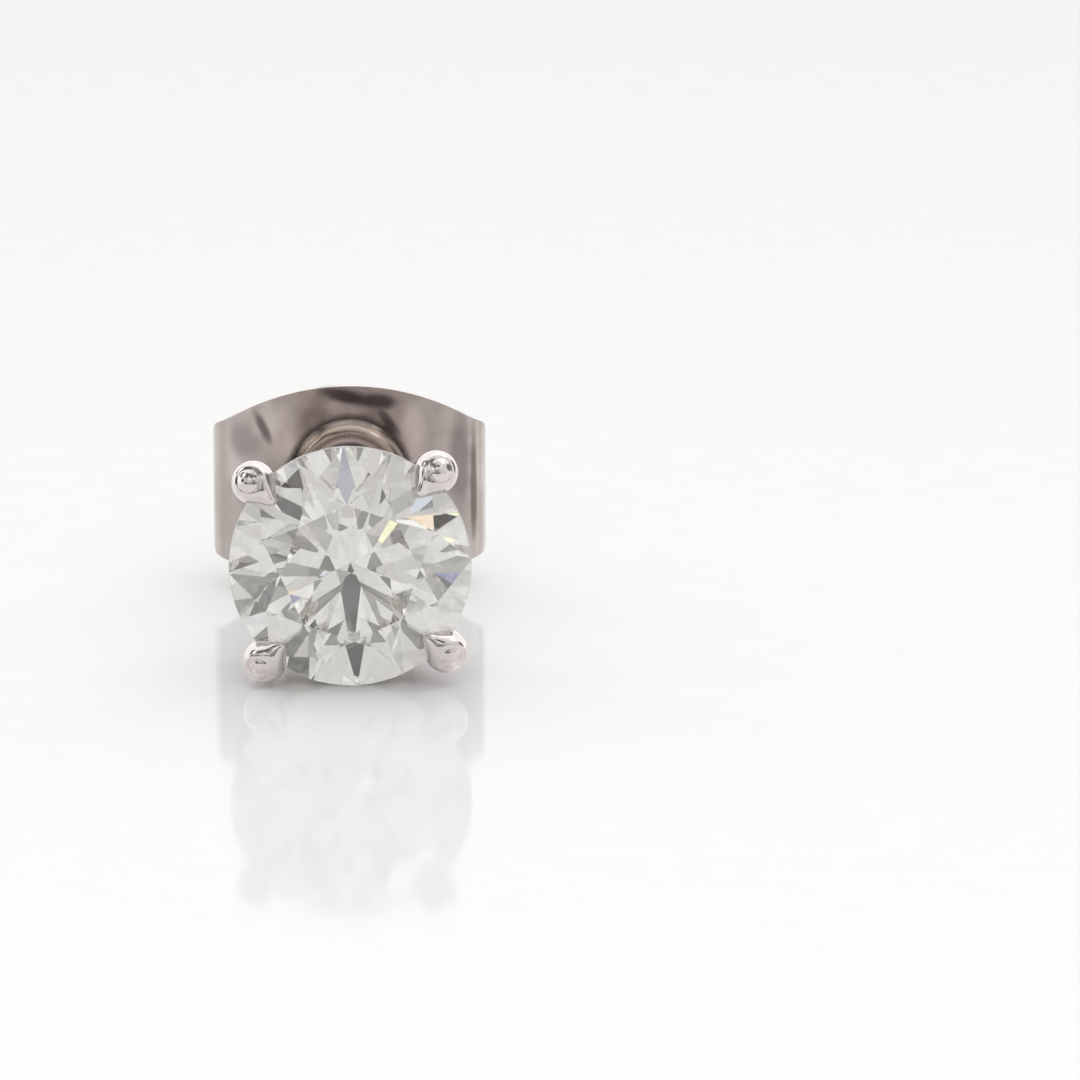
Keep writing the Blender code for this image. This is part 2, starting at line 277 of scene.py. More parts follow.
# %% White table
TABLE_HALF = 600 * MM
corners = TABLE_HALF * np.array([[(-1, -1, 0), (-1, 1, 0)], [(1, -1, 0), (1, 1, 0)]], float)
table = grid_piece("white_table", corners, closed=False)
table.data.flip_normals()
table_finish, nodes = new_finish("glossy_white_sheet")
grain = nodes.noise(nodes.node("TexCoord", output=3), 900.0, 2.0)
sheet_white = nodes.blend(grain, (0.775, 0.775, 0.77, 1), (0.80, 0.80, 0.795, 1))
paint = nodes.node("BsdfDiffuse", None, {"Color": sheet_white})
gloss = nodes.node("BsdfGlossy", None, {"Color": (1, 1, 1, 1), "Roughness": 0.07})
nodes.node("OutputMaterial", None, {"Surface": nodes.node("MixShader", None, {0: 0.16, 1: paint, 2: gloss})})
table.data.materials.append(table_finish)
print("table", [round(v, 2) for v in table.dimensions])

# %% [markdown]
# ## Studio light
# A jewel is lit by a bright white tent, and what makes it sparkle is what isn't white: the opening where the
# camera looks in, the dark gap under it at the table's edge, and small coloured gels that stand for a
# diamond's fire. The tent is the world's own light, worked out from the direction alone: bright overhead and
# behind, greyer towards the camera, with each of those places as a soft disc. Each row of TENT_PLACES gives a
# name, the azimuth and elevation, the radius in degrees, how much it covers, and its colour. Where nothing
# stands in the way, the camera sees an even near-white instead.

# %% White tent
world = bpy.data.worlds.new("white_tent")
bpy.context.scene.world = world
sky = Tree(world)
direction = sky.node("TexCoord", output=0)


def towards(azimuth, elevation):
    """Unit vector to a place in the tent: azimuth from the camera's side, turning to the right."""
    a, e = math.radians(azimuth), math.radians(elevation)
    return (math.sin(a) * math.cos(e), -math.cos(a) * math.cos(e), math.sin(e))


def cosine_to(way):
    return sky.node("VectorMath", {"operation": "DOT_PRODUCT"}, {0: direction, 1: way}, 1)


def disc(way, radius, soft):
    """1 inside a cone about a direction, 0 outside it, with angles in degrees."""
    return sky.step(cosine_to(way), math.cos(math.radians(radius + soft)), math.cos(math.radians(radius)))


front = sky.step(cosine_to((0, -1, 0)), -0.15, 0.75)
glow = sky.blend(front, (1.24, 1.24, 1.24, 1), (0.68, 0.67, 0.66, 1))
EDGE_IN, EDGE_SOFT = 0.8, 0.5
TENT_PLACES = (
    ("bright right wall", 58, 32, 24, 0.7, (0.8, 0.8, 0.8)),
    ("bright right corner", 37, 44, 12, 0.35, (1.15, 1.15, 1.15)),
    ("bright left fold", -24, 29, 6, 0.9, (1.3, 1.3, 1.3)),
    ("bright fold", 5, 33, 5, 0.7, (1.25, 1.25, 1.25)),
    ("grey above the opening", -20, 50, 9, 0.75, (0.15, 0.15, 0.15)),
    ("grey beside it", -12, 46, 9, 0.85, (0.12, 0.12, 0.12)),
    ("grey left of it", -60, 45, 14, 0.9, (0.08, 0.08, 0.08)),
    ("dark seam", -37, 57, 5, 1, (0.02, 0.02, 0.02)),
    ("left stand", -95, 36, 13, 0.9, (0.1, 0.1, 0.1)),
    ("right stand", 92, 20, 16, 0.9, (0.1, 0.1, 0.1)),
    ("grey right of it", 18, 47, 7, 0.9, (0.08, 0.08, 0.08)),
    ("clip", 16, 39, 2.5, 1, (0.02, 0.02, 0.02)),
    ("second clip", 9, 51, 4, 1, (0.05, 0.05, 0.05)),
    ("right seam", 31, 77, 3, 1, (0.03, 0.03, 0.03)),
    ("top seam", -6, 64, 3, 1, (0.03, 0.03, 0.03)),
    ("opening", 4, 15, 11, 0.7, (0.13, 0.13, 0.135)),
    ("blue cloth over the lens", -3, 20, 4.5, 0.9, (0.46, 0.49, 0.6)),
    ("dark gap at the table", 0, 1, 6, 1, (0.015, 0.013, 0.012)),
    ("edge of the opening", -14, 6, 5, 0.7, (0.1, 0.1, 0.1)),
    ("grey gap left", -21, 1, 9, 0.75, (0.1, 0.1, 0.1)),
    ("dark gap far left", -44, 1, 9, 1, (0.03, 0.03, 0.03)),
    ("left door", -69, 15, 9, 1, (0.05, 0.05, 0.05)),
    ("grey gap right", 15, -1, 6, 0.9, (0.05, 0.05, 0.05)),
    ("edge on the right", 20, 6, 4, 0.8, (0.08, 0.08, 0.08)),
    ("light in the gap", -3.6, 1, 1.5, 0.6, (0.9, 0.9, 0.9)),
    ("light beside it", -16, 1.2, 3, 0.4, (1, 1, 1)),
    ("dark spot", -31, 1, 2.5, 0.8, (0.05, 0.05, 0.05)),
    ("light spot", -26, 8, 2.5, 0.7, (1.2, 1.2, 1.2)),
    ("yellow gel", 12, 35, 2.4, 0.9, (1.45, 1.5, 0.95)),
    ("orange gel", -33, 39, 1.5, 0.8, (1.35, 1.05, 0.75)),
    ("grey right post", 52, 6, 4, 0.4, (0.4, 0.4, 0.4)),
    ("sky gel", 8, 22, 2, 0.75, (0.9, 1, 1.2)),
    ("violet gel", 13.5, 41.5, 2.2, 0.8, (0.30, 0.32, 0.60)),
)
for _, azimuth, elevation, radius, share, colour in TENT_PLACES:
    place = disc(towards(azimuth, elevation), radius * EDGE_IN, radius * EDGE_SOFT)
    glow = sky.blend(place * share, glow, (*colour, 1))
background = sky.node("Background", None, {"Color": glow, "Strength": 1.0})
plain = sky.node("Background", None, {"Color": (0.94, 0.94, 0.94, 1), "Strength": 1.0})
seen = sky.node("LightPath", output=0)
sky.node("OutputWorld", None, {"Surface": sky.node("MixShader", None, {0: seen, 1: background, 2: plain})})

# %% [markdown]
# Three lamps give the shadows a side and the claws their white highlights. A fourth, large and on the camera's
# side, stands for the light that a white room throws back under the stone. The tent is dark there, for the
# stone's sake, so this one is hidden from reflections and from what is seen through the stone.

# %% Lamps


def lamp(name, way, distance_mm, size_mm, radiance):
    """A square lamp that looks at the stone. Its power is its radiance times pi times its area."""
    data = bpy.data.lights.new(name, "AREA")
    data.size = size_mm * MM
    data.energy = radiance * math.pi * data.size**2
    obj = bpy.data.objects.new(name, data)
    obj.location = Vector(GIRDLE_MIDDLE) + Vector(way) * distance_mm * MM
    obj.rotation_euler = (-Vector(way)).to_track_quat("-Z", "Y").to_euler()
    bpy.context.scene.collection.objects.link(obj)
    print(name, "watts", round(data.energy, 4))
    return obj


front_fill = lamp("front_fill", towards(0, 42), 300, 300, 1.05)
front_fill.visible_glossy = False
front_fill.visible_transmission = False
lamp("overhead_lamp", towards(150, 72), 220, 160, 0.25)
lamp("left_lamp", towards(-80, 40), 200, 50, 2.0)
lamp("right_lamp", towards(82, 56), 200, 40, 2.0)

# %% [markdown]
# ## The diamond
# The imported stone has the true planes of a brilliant's facets, so it stays as it is. Its finish is clear and
# bends light by diamond's index of 2.417, so that light is thrown back and forth between the facets. The
# girdle, its thin waist, is ground and not polished: its roughness is raised beyond a distance from the post's
# axis.

# %% Diamond's finish
DIAMOND_INDEX = 2.417
GIRDLE_RADIUS = 2.55


def distance_from_axis(tree, place):
    flat = tree.node("VectorMath", {"operation": "MULTIPLY"}, {0: place, 1: (1, 1, 0)})
    return tree.node("VectorMath", {"operation": "LENGTH"}, {0: flat}, 1)


diamond_finish, nodes = new_finish("cut_diamond")
place = drawn_place(nodes)
girdle = nodes.step(distance_from_axis(nodes, place), GIRDLE_RADIUS - 0.012, GIRDLE_RADIUS - 0.006)
clear = nodes.node(
    "BsdfPrincipled",
    None,
    {
        "Base Color": (0.835, 0.825, 0.785, 1),
        "Roughness": girdle * 0.35,
        "IOR": DIAMOND_INDEX,
        "Transmission Weight": 1.0,
    },
)
nodes.node("OutputMaterial", None, {"Surface": clear})
stone = frame["nodes"]["diamond"]
stone.data.materials.clear()
stone.data.materials.append(diamond_finish)

# %% [markdown]
# ## Polished white gold
# Claws, rail, base and post are cast white gold, polished and plated with rhodium. A mirror of one colour looks
# like plastic, so the finish carries what a polishing wheel leaves: faint lines round the metal, a slight haze
# in patches, and hairline scratches.

# %% White gold's finish


def hairlines(tree, place, turn, stretch, scale):
    """Thin scratches: noise in turned axes, long where the stretch is smallest, of which only the peaks stay."""
    turned_place = tree.node("Mapping", None, {"Vector": place, "Rotation": turn})
    lines = tree.noise(tree.stretched(turned_place, stretch), scale, 2.0, 0.5)
    return tree.step(lines, 0.60, 0.72)


gold_finish, nodes = new_finish("polished_white_gold")
place = drawn_place(nodes)
haze = nodes.noise(place, 1.6, 4.0)
wheel = nodes.noise(nodes.stretched(place, (3.0, 3.0, 22.0)), 3.0, 3.0)
scratches = hairlines(nodes, place, (0.6, 0.3, 0.5), (9.0, 9.0, 0.8), 4.0)
tone = nodes.blend(nodes.step(haze, 0.35, 0.7), (0.73, 0.672, 0.660, 1), (0.82, 0.762, 0.750, 1))
relief = wheel * 0.5 + haze * 0.5 + scratches * 0.3
bump = nodes.node("Bump", None, {"Strength": 0.06, "Distance": 0.02 * MM, "Height": relief})
gold = nodes.node(
    "BsdfPrincipled",
    None,
    {
        "Base Color": tone,
        "Metallic": 1.0,
        "Roughness": haze * 0.10 + scratches * 0.12 + 0.04,
        "Normal": bump,
    },
)
nodes.node("OutputMaterial", None, {"Surface": gold})
print("white gold", len(gold_finish.node_tree.nodes), "nodes")

# %% [markdown]
# ## The four claws
# A claw is a round wire that leans outwards from the base, and is bent over the edge of the stone and filed to
# a blunt point. Sweeping a circle along such a sharp bend folds the surface inside the bend. The claw is
# instead described by distance: two tapered rods that meet in the shoulder, melted together, less the stone.
# Seen from the middle of the shoulder, every point of that skin lies on one ray, so the skin is one number, the
# length of the ray, for each pair of angles.

# %% Distances to the claw's parts
CLAW_FOOT = np.array((1.22, 0.0, -2.885))
CLAW_SHOULDER = np.array((2.71, 0.0, 0.12))
CLAW_POINT = np.array((2.215, 0.0, 0.392))
FOOT_RADIUS, SHOULDER_RADIUS, TIP_RADIUS, POINT_RADIUS = 0.34, 0.41, 0.395, 0.13
FILED_WAY = np.array((math.sin(math.radians(24)), 0.0, math.cos(math.radians(24))))
FILED_DEPTH = 0.075
BASE_TOP, BASE_BOTTOM = -2.675, -3.275
SEAT_GAP = 0.012


def rod_distance(points, start, end, start_radius, end_radius):
    """Distance to a ball that goes from start to end while its radius changes evenly, negative inside."""
    way = end - start
    length = np.linalg.norm(way)
    along = (points - start) @ (way / length)
    across = np.linalg.norm(points - start - along[..., None] * way / length, axis=-1)
    lean = (start_radius - end_radius) / length
    upright = math.sqrt(1 - lean**2)
    reached = upright * along - lean * across
    side = upright * across + lean * along - start_radius
    at_start = np.hypot(across, along) - start_radius
    at_end = np.hypot(across, along - length) - end_radius
    return np.where(reached < 0, at_start, np.where(reached > upright * length, at_end, side))


def melted(first, second, reach):
    """The smaller of two distances, with the crease between them filled within reach."""
    near = np.clip(reach - np.abs(first - second), 0, None) / reach
    return np.minimum(first, second) - near**2 * reach / 4


def facet_planes():
    """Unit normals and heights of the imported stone's facets, in standing millimetres and without its roll."""
    mesh = stone.data
    normals = np.empty(len(mesh.polygons) * 3)
    middles = np.empty(len(mesh.polygons) * 3)
    mesh.polygons.foreach_get("normal", normals)
    mesh.polygons.foreach_get("center", middles)
    axes = np.stack([ACROSS, OVER, UP_THE_STUD])
    normals = normals.reshape(-1, 3) @ axes.T
    middles = (middles.reshape(-1, 3) - GIRDLE_MIDDLE) @ axes.T / MM
    cosine, sine = math.cos(HEAD_ROLL), math.sin(HEAD_ROLL)
    roll = np.array([[cosine, -sine, 0], [sine, cosine, 0], [0, 0, 1]])
    normals, middles = normals @ roll, middles @ roll
    heights = (normals * middles).sum(-1)
    return np.unique(np.round(np.column_stack([normals, heights]), 4), axis=0)


facets = facet_planes()
print("facet planes", len(facets))

# %% Rays from the shoulder to the claw's skin
CLAW_AZIMUTHS = np.radians(45 + 90 * np.arange(4))
CLAW_COLUMNS = 72


def claw_distance(points, azimuth):
    """The leg and the tip melted together, filed flat on top, flared into the base below, outside the stone."""
    leg = rod_distance(points, CLAW_FOOT, CLAW_SHOULDER, FOOT_RADIUS, SHOULDER_RADIUS)
    tip = rod_distance(points, CLAW_SHOULDER, CLAW_POINT, TIP_RADIUS, POINT_RADIUS)
    above_file = (points - CLAW_SHOULDER) @ FILED_WAY - SHOULDER_RADIUS + FILED_DEPTH
    claw = -melted(-melted(leg, tip, 0.22), -above_file, 0.07)
    flare = rod_distance(points, CLAW_FOOT, CLAW_SHOULDER, FOOT_RADIUS + 0.13, SHOULDER_RADIUS)
    solder = np.maximum(melted(leg, points[..., 2] - BASE_TOP + 0.01, 0.28), flare)
    claw = np.minimum(claw, np.maximum(solder, BASE_BOTTOM + 0.03 - points[..., 2]))
    turned = np.stack(
        [
            points[..., 0] * math.cos(azimuth) - points[..., 1] * math.sin(azimuth),
            points[..., 0] * math.sin(azimuth) + points[..., 1] * math.cos(azimuth),
            points[..., 2],
        ],
        -1,
    )
    into_stone = (turned @ facets[:, :3].T - facets[:, 3]).max(-1)
    return np.maximum(claw, SEAT_GAP - into_stone)


def claw_rays():
    """Directions from the shoulder: polar angle from the leg, close together down the leg, and azimuth round it."""
    down = (CLAW_FOOT - CLAW_SHOULDER) / np.linalg.norm(CLAW_FOOT - CLAW_SHOULDER)
    sideways = np.array((0.0, 1.0, 0.0))
    third = np.cross(down, sideways)
    down_the_leg = np.arctan2(0.36, np.linspace(3.75, 0.42, 34))
    polar = np.concatenate([[0.03, 0.06], down_the_leg, np.linspace(down_the_leg[-1], math.pi - 0.03, 62)[1:]])
    round_it = np.linspace(0, 2 * math.pi, CLAW_COLUMNS, endpoint=False)
    p, r = np.meshgrid(polar, round_it, indexing="ij")
    outwards = np.cos(r)[..., None] * sideways + np.sin(r)[..., None] * third
    return down, np.cos(p)[..., None] * down + np.sin(p)[..., None] * outwards


def claw_skin(azimuth):
    """The point where each ray leaves the claw: step along it by the distance still inside, until that is nothing."""
    down, ways = claw_rays()
    ways = np.concatenate([ways.reshape(-1, 3), [down, -down]])
    reach = np.zeros(len(ways))
    for _ in range(90):
        reach -= claw_distance(CLAW_SHOULDER + reach[:, None] * ways, azimuth)
    skin = CLAW_SHOULDER + reach[:, None] * ways
    turn = np.array([[math.cos(azimuth), math.sin(azimuth), 0], [-math.sin(azimuth), math.cos(azimuth), 0], [0, 0, 1]])
    skin = laid_down(skin @ turn, HEAD_ROLL)
    return skin[:-2].reshape(-1, CLAW_COLUMNS, 3), skin[-2], skin[-1]


for number, azimuth in enumerate(CLAW_AZIMUTHS, 1):
    rows, foot_pole, crown_pole = claw_skin(azimuth)
    claw = facing_out(grid_piece(f"claw_{number}", rows, poles=(foot_pole, crown_pole)))
    claw.data.materials.append(gold_finish)
    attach(claw, "stud")

# %% [markdown]
# ## The gallery rail
# A ring of wire ties the four legs together under the stone. It is a circle carried round a circle. Solder
# draws up where it meets a leg, so its radius swells a little there.

# %% Gallery rail
RAIL_DEPTH, RAIL_RADIUS, RAIL_RING = 1.50, 0.20, 1.907
SOLDER_SWELL, SOLDER_REACH = 0.07, 0.23


def rail_points(rows=192, columns=28):
    """A ring whose own radius is the wire's, plus a bell curve of the angle to the nearest leg."""
    round_stud = np.linspace(0, 2 * math.pi, rows, endpoint=False)
    round_wire = np.linspace(0, 2 * math.pi, columns, endpoint=False)
    around, section = np.meshgrid(round_stud, round_wire, indexing="ij")
    to_leg = around % (math.pi / 2) - math.pi / 4
    wire = RAIL_RADIUS + SOLDER_SWELL * np.exp(-((to_leg / SOLDER_REACH) ** 4))
    out = RAIL_RING + wire * np.cos(section)
    return np.stack([out * np.cos(around), out * np.sin(around), -RAIL_DEPTH + wire * np.sin(section)], -1)


rail = facing_out(grid_piece("gallery_rail", laid_down(rail_points(), HEAD_ROLL), looped=True))
rail.data.materials.append(gold_finish)
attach(rail, "stud")

# %% [markdown]
# ## Base and ear post
# The base is a small disc with softened edges, and the post is a wire with a rounded end, soldered to its
# back. Both are turned: one outline carried round the axis.

# %% Base and ear post
BASE_RADIUS, BASE_SOFT = 1.61, 0.14
POST_RADIUS, POST_END, POST_SOFT = 0.425, -13.275, 0.25


def bow(centre, radius, start, end, count):
    """Points of an arc, with angles in degrees."""
    angle = np.radians(np.linspace(start, end, count))
    return np.column_stack([centre[0] + radius * np.cos(angle), centre[1] + radius * np.sin(angle)])


def base_and_post_outline():
    """Distance from the axis and height, from the middle of the base's face down to the end of the post."""
    fillet = 0.12
    return np.vstack(
        [
            np.column_stack([np.linspace(0.1, 1.3, 8), np.full(8, BASE_TOP)]),
            bow((BASE_RADIUS - BASE_SOFT, BASE_TOP - BASE_SOFT), BASE_SOFT, 90, 0, 8),
            bow((BASE_RADIUS - BASE_SOFT, BASE_BOTTOM + BASE_SOFT), BASE_SOFT, 0, -90, 8),
            np.column_stack([np.linspace(1.3, POST_RADIUS + fillet, 7), np.full(7, BASE_BOTTOM)]),
            bow((POST_RADIUS + fillet, BASE_BOTTOM - fillet), fillet, 90, 180, 7)[1:],
            np.column_stack([np.full(30, POST_RADIUS), np.linspace(BASE_BOTTOM - 0.4, POST_END + POST_SOFT + 0.1, 30)]),
            bow((POST_RADIUS - POST_SOFT, POST_END + POST_SOFT), POST_SOFT, 0, -90, 9),
        ]
    )


def turned(outline, columns):
    """An outline carried round the axis: distance times the cosine and the sine of the angle, and its height."""
    angle = np.linspace(0, 2 * math.pi, columns, endpoint=False)
    out = outline[:, 0, None]
    height = np.repeat(outline[:, 1, None], columns, 1)
    return np.stack([out * np.cos(angle), out * np.sin(angle), height], -1)


outline = base_and_post_outline()
ends = laid_down([(0, 0, BASE_TOP), (0, 0, POST_END)])
base = facing_out(grid_piece("base_and_post", laid_down(turned(outline, 96)), poles=(ends[0], ends[1])))
base.data.materials.append(gold_finish)
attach(base, "stud")
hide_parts("claw_setting")

# %% [markdown]
# ## The butterfly back
# One strip of sheet metal is stamped with a ring round its hole, and its two ends are rolled back until they
# grip the post. Bending a flat grid by hand would never keep the ring round. Here the middle of the strip is a
# polar patch, rows round the hole and columns out to the strip's edges, and each wing goes on from the patch's
# side. All of them are drawn flat, as length along the strip and height across it, and one function then bends
# every point at once.

# %% The strip's bends
PLATE_PLACE = -9.4
SHEET = 0.25
HALF_WIDTH, PLATE_HALF, EDGE_BOW, ROLL_HALF = 3.04, 2.32, 5.40, 1.12
BEND_RADIUS, BEND_TURN, ROLL_RADIUS, ROLL_END = 0.22, math.radians(76), 1.28, math.radians(285)
CORNER_RADIUS = 0.45
HOLE_RADIUS = 0.485
RING_EDGE, RING_CREST, RING_HEIGHT = 1.55, 1.25, 0.30
RING_NARROWING = 1.13

side = HALF_WIDTH - SHEET / 2
inner_radius = side - (POST_RADIUS + 0.03 + SHEET / 2) - ROLL_RADIUS
flat_part = side - BEND_RADIUS * math.sin(BEND_TURN) - ROLL_RADIUS * (1 - math.sin(BEND_TURN))
bend_length = BEND_RADIUS * BEND_TURN
roll_length = ROLL_RADIUS * (math.pi - BEND_TURN)
strip_half = flat_part + bend_length + roll_length + inner_radius * (ROLL_END - math.pi)


def bent(length):
    """Place and depth of a length along half the strip: straight, then three arcs that run on from each other."""
    heading, x, depth = 0.0, np.minimum(length, flat_part), np.zeros_like(length)
    start = flat_part
    for radius, end_heading in ((BEND_RADIUS, BEND_TURN), (ROLL_RADIUS, math.pi), (inner_radius, ROLL_END)):
        turn = np.clip((length - start) / radius, 0, end_heading - heading)
        x = x + radius * (np.sin(heading + turn) - math.sin(heading))
        depth = depth + radius * (math.cos(heading) - np.cos(heading + turn))
        start, heading = start + radius * (end_heading - heading), end_heading
    return x, depth


def half_height(length):
    """Half the strip's width: a bowed edge on the plate, a straight one on the roll, rounded corners at the end."""
    bowed = PLATE_HALF - EDGE_BOW + np.sqrt(EDGE_BOW**2 - np.minimum(length, 5.0) ** 2)
    height = -melted(-bowed, np.full_like(bowed, -ROLL_HALF), 0.10)
    into_corner = np.clip(CORNER_RADIUS - (strip_half - length), 0, CORNER_RADIUS)
    return height - CORNER_RADIUS + np.sqrt(CORNER_RADIUS**2 - into_corner**2)


def ring_edge(length, height):
    """The ring is an oval, narrower along the strip: how far its edge is from the hole's middle, towards a point."""
    return RING_EDGE * np.hypot(length, height) / np.hypot(length * RING_NARROWING, height)


def ring_rise(length, height):
    """Height of the pressed ring: half a cosine wave up to its crest, and another down to the hole."""
    edge = ring_edge(length, height)
    distance = HOLE_RADIUS + (np.hypot(length, height) - HOLE_RADIUS) * (RING_EDGE - HOLE_RADIUS) / (edge - HOLE_RADIUS)
    outer = np.clip((RING_EDGE - distance) / (RING_EDGE - RING_CREST), 0, 1)
    inner = np.clip((distance - HOLE_RADIUS) / (RING_CREST - HOLE_RADIUS), 0, 1)
    share = np.where(distance > RING_CREST, outer, inner)
    return RING_HEIGHT * (1 - np.cos(math.pi * share)) / 2


def formed(length, height):
    """A flat point of the strip, length and height, to its place on the bent and stamped strip."""
    x, depth = bent(np.abs(length))
    rise = ring_rise(length, height)
    return np.stack([np.sign(length) * x, height, PLATE_PLACE - depth + rise], -1)


print("half strip", round(strip_half, 3), "flat part", round(flat_part, 3))

# %% The polar patch and the two wings
PATCH_HALF = 1.85
SIDE_ROWS, TOP_ROWS, WING_STEPS = 40, 44, 84


def patch_border():
    """Points round the patch's border, anticlockwise from its lower right corner: right, top, left and bottom."""
    corner = float(half_height(np.array([PATCH_HALF]))[0])
    up = np.linspace(-corner, corner, SIDE_ROWS, endpoint=False)
    back = np.linspace(PATCH_HALF, -PATCH_HALF, TOP_ROWS, endpoint=False)
    right = np.column_stack([np.full(SIDE_ROWS, PATCH_HALF), up])
    top = np.column_stack([back, half_height(np.abs(back))])
    return np.vstack([right, top, -right, -top])


def patch_points():
    """Rays from the hole's rim to the border, with most of their points on the pressed ring."""
    border = patch_border()
    far, edge = np.hypot(*border.T), ring_edge(*border.T)
    on_ring = np.linspace(0, 1, 34)[:, None] * (edge - HOLE_RADIUS) + HOLE_RADIUS
    beyond = np.linspace(0, 1, 9)[1:, None] * (far - edge) + edge
    distance = np.vstack([on_ring, beyond])
    return distance * border[:, 0] / far, distance * border[:, 1] / far


def wing_points(sign):
    """A grid from the patch's side to the strip's end: even steps, closer at its round corners, by shares of height."""
    rounded = strip_half - 0.5 * np.cos(np.linspace(0, math.pi / 2, 12))
    length = np.concatenate([np.linspace(PATCH_HALF, rounded[0], WING_STEPS), rounded[1:]])
    share = np.linspace(-1, 1, SIDE_ROWS + 1)
    return np.repeat(sign * length[:, None], len(share), 1), half_height(length)[:, None] * share


def joined_sheet(name, patches):
    """One mesh from several open or closed grids, welded where their borders meet."""
    corners, faces, count = [], [], 0
    for points, closed in patches:
        rows, columns = points.shape[:2]
        faces.append(grid_faces(rows, columns, closed) + count)
        corners.append(points.reshape(-1, 3))
        count += rows * columns
    corners, faces = np.vstack(corners), np.vstack(faces)
    _, first, number = np.unique(np.round(corners, 7), axis=0, return_index=True, return_inverse=True)
    mesh = bpy.data.meshes.new(name)
    mesh.from_pydata(corners[first].tolist(), [], number.reshape(-1)[faces].tolist())
    mesh.polygons.foreach_set("use_smooth", np.ones(len(mesh.polygons), bool))
    obj = bpy.data.objects.new(name, mesh)
    bpy.context.scene.collection.objects.link(obj)
    return obj


across, up = patch_points()
patches = [(laid_down(formed(across, up)), True)]
for sign in (1, -1):
    along, high = wing_points(sign)
    points = laid_down(formed(along, high))
    patches.append((points if sign > 0 else points[:, ::-1], False))
back = joined_sheet("butterfly_strip", patches)

# %% Thickness and soft edges
thicken = back.modifiers.new("sheet", "SOLIDIFY")
thicken.thickness = SHEET * MM
thicken.offset = 0
thicken.use_even_offset = True
soften = back.modifiers.new("soft_edges", "BEVEL")
soften.width = 0.045 * MM
soften.segments = 3
soften.limit_method = "ANGLE"
soften.angle_limit = math.radians(50)
soften.harden_normals = True
print("strip", len(back.data.polygons), "faces before its thickness")

# %% [markdown]
# ## Stamped sheet
# The back is stamped from the same white gold but never polished flat, so it is hazier and mirrors the table
# in soft streaks. The plate also has light and dark reflections of its studio, and shade at its bends. The
# photographed plate also has light and dark smears, probably reflections of its studio. This light gives them
# only roughly, so they are painted into the face's colour as soft ovals: painted reflections and painted shade.
# Each row of the table of ovals gives a name, the place, the half width and half height, the tilt, how much it
# covers, and its tone. Plating wears off the crest of the ring first and lets the warmer gold show. The hollow
# inside the ring, towards the hole, is darkened with painted shade, and a dark line at the ring's foot is painted
# shade in the crease, with polishing paste in it.

# %% Sheet's finish
sheet_finish, nodes = new_finish("stamped_white_gold")
place = drawn_place(nodes)
swells = nodes.noise(nodes.stretched(place, (1.0, 0.6, 0.5)), 0.8, 1.0, 0.4, 0.5)
cloud = nodes.noise(place, 1.1, 4.0)
scratches = hairlines(nodes, place, (0.1, 0.1, 0.7), (0.6, 12.0, 12.0), 3.0)
along_post = nodes.node("VectorMath", {"operation": "DOT_PRODUCT"}, {0: place, 1: (0, 0, 1)}, 1)
on_plate = nodes.step(along_post, PLATE_PLACE - 0.45, PLATE_PLACE - 0.15)
sheet_tone = nodes.blend(nodes.step(cloud, 0.35, 0.65), (0.56, 0.505, 0.478, 1), (0.70, 0.635, 0.612, 1))
print("stamped sheet", len(sheet_finish.node_tree.nodes), "nodes before its smears")

# %% Painted reflections and shade on the plate's face
# Painted reflections and shade: soft ovals of light and dark tone laid into the plate's colour.
PAINTED_REFLECTION_OVALS = (
    ("left bend", -2.85, 0.2, 0.28, 1.9, 0, 0.7, (0.48, 0.42, 0.39)),
    ("beside the ring, left", -1.45, 1.30, 0.55, 0.85, 0, 0.9, (0.96, 0.90, 0.855)),
    ("beside the ring, right", 1.42, 1.25, 0.42, 0.85, 0, 0.9, (0.97, 0.90, 0.885)),
    ("above the ring", -0.15, 1.84, 0.75, 0.24, -6, 0.85, (0.95, 0.88, 0.86)),
    ("left corner", -2.32, 1.10, 0.42, 0.60, 20, 0.65, (0.30, 0.27, 0.26)),
    ("left streak", -1.93, 1.42, 0.15, 0.55, 25, 0.85, (0.17, 0.145, 0.14)),
    ("top band", -0.10, 2.10, 0.80, 0.22, -13, 0.92, (0.11, 0.09, 0.085)),
    ("top band's end", 0.68, 1.97, 0.50, 0.22, -8, 0.9, (0.12, 0.105, 0.12)),
    ("ring's right flank", 0.86, 1.52, 0.16, 0.55, 38, 0.88, (0.15, 0.125, 0.125)),
    ("right corner", 2.45, 0.6, 0.32, 1.3, 0, 0.7, (0.25, 0.215, 0.205)),
    ("right bend", 2.76, 0.1, 0.10, 1.7, 0, 0.8, (0.16, 0.12, 0.11)),
)


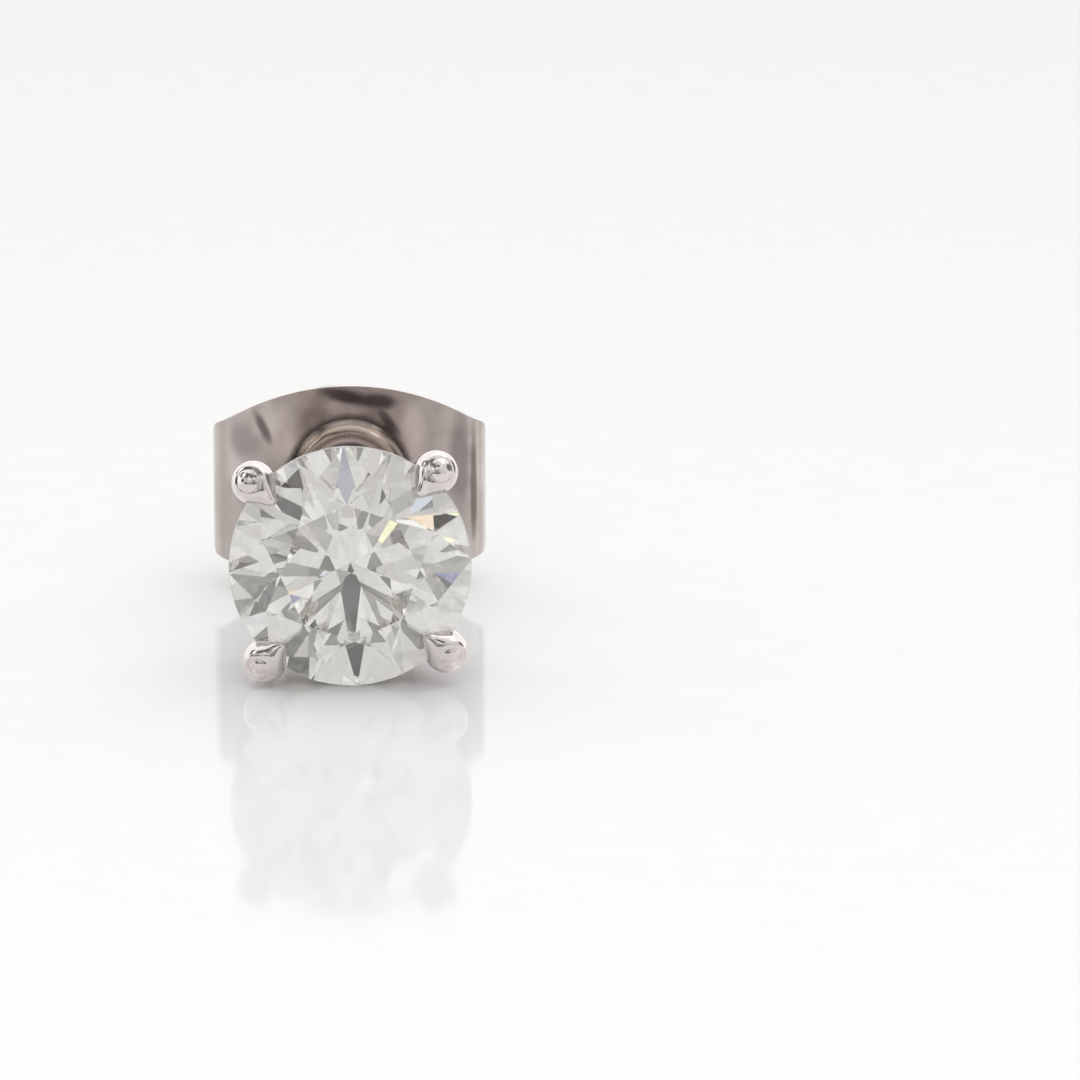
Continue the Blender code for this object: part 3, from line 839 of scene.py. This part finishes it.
def painted_reflection_oval(x, y, wide, high, tilt):
    """1 in the middle of a soft oval on the plate, 0 outside it: the length of the place in the oval's own axes."""
    own_place = nodes.node(
        "Mapping",
        {"vector_type": "TEXTURE"},
        {
            "Vector": place,
            "Location": (x, y, PLATE_PLACE),
            "Rotation": (0, 0, math.radians(tilt)),
            "Scale": (wide, high, 1.2),
        },
    )
    distance = nodes.node("VectorMath", {"operation": "LENGTH"}, {0: own_place}, 1)
    return 1 - nodes.step(distance + cloud * 0.5 - 0.25, 0.35, 1.05)


# Each oval lays a painted reflection, light or dark, into the sheet's colour.
for _, x, y, wide, high, tilt, share, tone in PAINTED_REFLECTION_OVALS:
    sheet_tone = nodes.blend(painted_reflection_oval(x, y, wide, high, tilt) * share, sheet_tone, (*tone, 1))
print("painted_reflection_ovals", len(PAINTED_REFLECTION_OVALS))

# %% Wear on the ring, painted shade in its hollow and crease, and the sheet's finish
from_post = distance_from_axis(nodes, nodes.stretched(place, (RING_NARROWING, 1.0, 1.0)))
worn = nodes.step(from_post, 1.12, 1.24) * (1 - nodes.step(from_post, 1.48, 1.55)) * on_plate
sheet_tone = nodes.blend(worn * 0.9, sheet_tone, (0.36, 0.285, 0.235, 1))
# Painted shade: the hollow inside the ring, towards the hole, is darkened.
inside = (1 - nodes.step(from_post, 1.00, 1.20)) * on_plate
sheet_tone = nodes.blend(inside * 0.85, sheet_tone, (0.13, 0.10, 0.085, 1))
# Painted shade in the crease at the ring's foot, with polishing paste in it: a dark line that fades outwards.
crease = nodes.step(from_post, 1.49, 1.56) * (1 - nodes.step(from_post + cloud * 0.2 - 0.1, 1.60, 1.78)) * on_plate
sheet_tone = nodes.blend(crease * 0.85, sheet_tone, (0.10, 0.085, 0.075, 1))
bump = nodes.node("Bump", None, {"Strength": 0.5, "Distance": 0.10 * MM, "Height": swells})
sheet_metal = nodes.node(
    "BsdfPrincipled",
    None,
    {
        "Base Color": sheet_tone,
        "Metallic": 1.0,
        "Roughness": cloud * 0.14 + scratches * 0.06 + worn * 0.05 + 0.11,
        "Normal": bump,
    },
)
nodes.node("OutputMaterial", None, {"Surface": sheet_metal})
back.data.materials.append(sheet_finish)
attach(back, "back")
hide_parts("butterfly_back")

# %% [markdown]
# ## How the picture is worked out
# Light goes back and forth in a diamond a dozen times before it leaves, so the path tracer is allowed that many
# turns. The view transform is the plain one, which keeps white paper white.

# %% Light paths and tone
scene = bpy.context.scene
scene.cycles.max_bounces = 28
scene.cycles.transmission_bounces = 28
scene.cycles.glossy_bounces = 28
scene.view_settings.view_transform = "Standard"
print("bounces", scene.cycles.max_bounces)

# %% Importing json
import json
